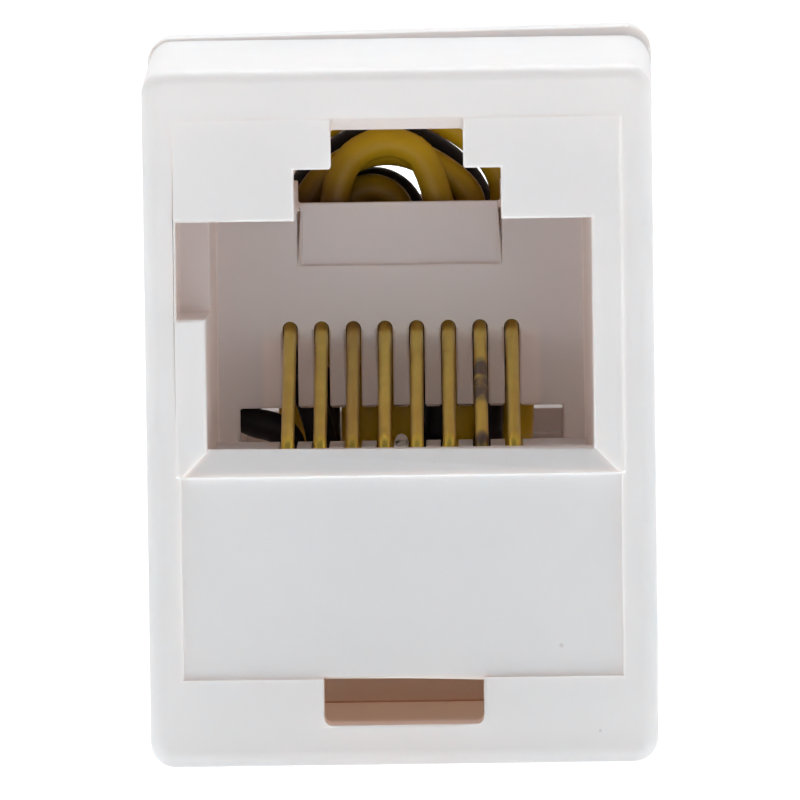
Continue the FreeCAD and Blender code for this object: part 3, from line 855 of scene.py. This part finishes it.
def wire_tree():
    """A node tree that rounds, repeats and thickens one wire's path."""
    tree = bpy.data.node_groups.new("spring_wires", "GeometryNodeTree")
    face = tree.interface
    face.new_socket("Geometry", in_out="INPUT", socket_type="NodeSocketGeometry")
    face.new_socket("Wires", in_out="INPUT", socket_type="NodeSocketInt")
    for name in ("Pitch", "Radius", "Bend"):
        face.new_socket(name, in_out="INPUT", socket_type="NodeSocketFloat")
    face.new_socket("Material", in_out="INPUT", socket_type="NodeSocketMaterial")
    face.new_socket("Geometry", in_out="OUTPUT", socket_type="NodeSocketGeometry")

    node = node_maker(tree)
    given = node("NodeGroupInput").outputs
    bent = node("GeometryNodeFilletCurve", {"mode": "POLY"}, Curve=given["Geometry"],
                Radius=given["Bend"], Count=BEND_POINTS)
    copies = node("GeometryNodeDuplicateElements", {"domain": "SPLINE"},
                  Geometry=bent.outputs[0], Amount=given["Wires"])
    half = node("ShaderNodeMath", {"operation": "MULTIPLY_ADD"}, _0=given["Wires"], _1=0.5, _2=-0.5)
    along = node("ShaderNodeMath", {"operation": "SUBTRACT"}, _0=copies.outputs["Duplicate Index"],
                 _1=half.outputs[0])
    shift = node("ShaderNodeMath", {"operation": "MULTIPLY"}, _0=along.outputs[0], _1=given["Pitch"])
    offset = node("ShaderNodeCombineXYZ", X=shift.outputs[0])
    lines = node("GeometryNodeSetPosition", Geometry=copies.outputs[0], Offset=offset.outputs[0])
    ring = node("GeometryNodeCurvePrimitiveCircle", Resolution=WIRE_FACES, Radius=given["Radius"])
    skin = node("GeometryNodeCurveToMesh", Curve=lines.outputs[0], Profile_Curve=ring.outputs[0])
    ends = node("GeometryNodeCurveEndpointSelection", Start_Size=1, End_Size=1)
    ball = node("GeometryNodeMeshUVSphere", Segments=WIRE_FACES, Rings=BALL_RINGS,
                Radius=given["Radius"])
    domes = node("GeometryNodeInstanceOnPoints", Points=lines.outputs[0], Selection=ends.outputs[0],
                 Instance=ball.outputs[0])
    both = node("GeometryNodeJoinGeometry")
    tree.links.new(domes.outputs[0], both.inputs[0])
    tree.links.new(skin.outputs[0], both.inputs[0])
    real = node("GeometryNodeRealizeInstances", Geometry=both.outputs[0])
    smooth = node("GeometryNodeSetShadeSmooth", Geometry=real.outputs[0])
    coated = node("GeometryNodeSetMaterial", Geometry=smooth.outputs[0], Material=given["Material"])
    node("NodeGroupOutput", Geometry=coated.outputs[0])
    return tree


wires_tree = wire_tree()
print("wire tree nodes:", len(wires_tree.nodes))

# %% [markdown]
# ## Both rows of contacts
#
# The two jacks are the same, turned round, so one function lays either row.  The tree's inputs
# are set by their identifiers, which stay unique where names may not.  The result is made a
# plain mesh, which stands in place of that jack's eight contacts.

# %% Contacts of both jacks
# Places along one wire, from its free end to its crimp: depth behind the face and height, in mm.
# The second, at the shelf's nose, is 0.02 higher than the model's.
WIRE_PLACES = [(10.7, 13.2), (1.95, 10.01), (1.95, TAIL_HEIGHT), (7.2, TAIL_HEIGHT)]


def contact_row(letter, side):
    """All eight wires of one jack; side is -1 for the near jack and 1 for the far one."""
    curve = bpy.data.curves.new("wire_path", "CURVE")
    curve.dimensions = "3D"
    spline = curve.splines.new("POLY")
    spline.points.add(len(WIRE_PLACES) - 1)
    for point, (depth, height) in zip(spline.points, WIRE_PLACES):
        point.co = (0, side * (HALF_LENGTH - depth) * MM, height * MM, 1)
    path = new_object("wire_path", curve)
    modifier = path.modifiers.new("wires", "NODES")
    modifier.node_group = wires_tree
    values = {"Wires": PINS, "Pitch": PITCH * MM, "Radius": WIRE_RADIUS * MM, "Bend": WIRE_BEND * MM,
              "Material": gold}
    for item in wires_tree.interface.items_tree:
        if item.name in values and item.in_out == "INPUT":
            modifier[item.identifier] = values[item.name]
    mesh = evaluated_mesh(path)
    bpy.data.objects.remove(path)
    bpy.data.curves.remove(curve)
    row = new_object(f"contact_row_{letter}", mesh)
    repaint(row, gold)
    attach(row, "root")
    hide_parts(*[f"contact_{letter}{pin}" for pin in range(1, PINS + 1)])
    return row


rows = [contact_row("a", -1), contact_row("b", 1)]
print("contact rows:", [(len(row.data.polygons), row.data.materials[0].name) for row in rows])

# %% [markdown]
# ## Finish
#
# At the end the scene is brought up to date.  Nothing was moved, so the dressed coupler's box
# should still agree with the model's own to a few hundredths of a millimetre.

# %% Finish
bpy.context.view_layer.update()
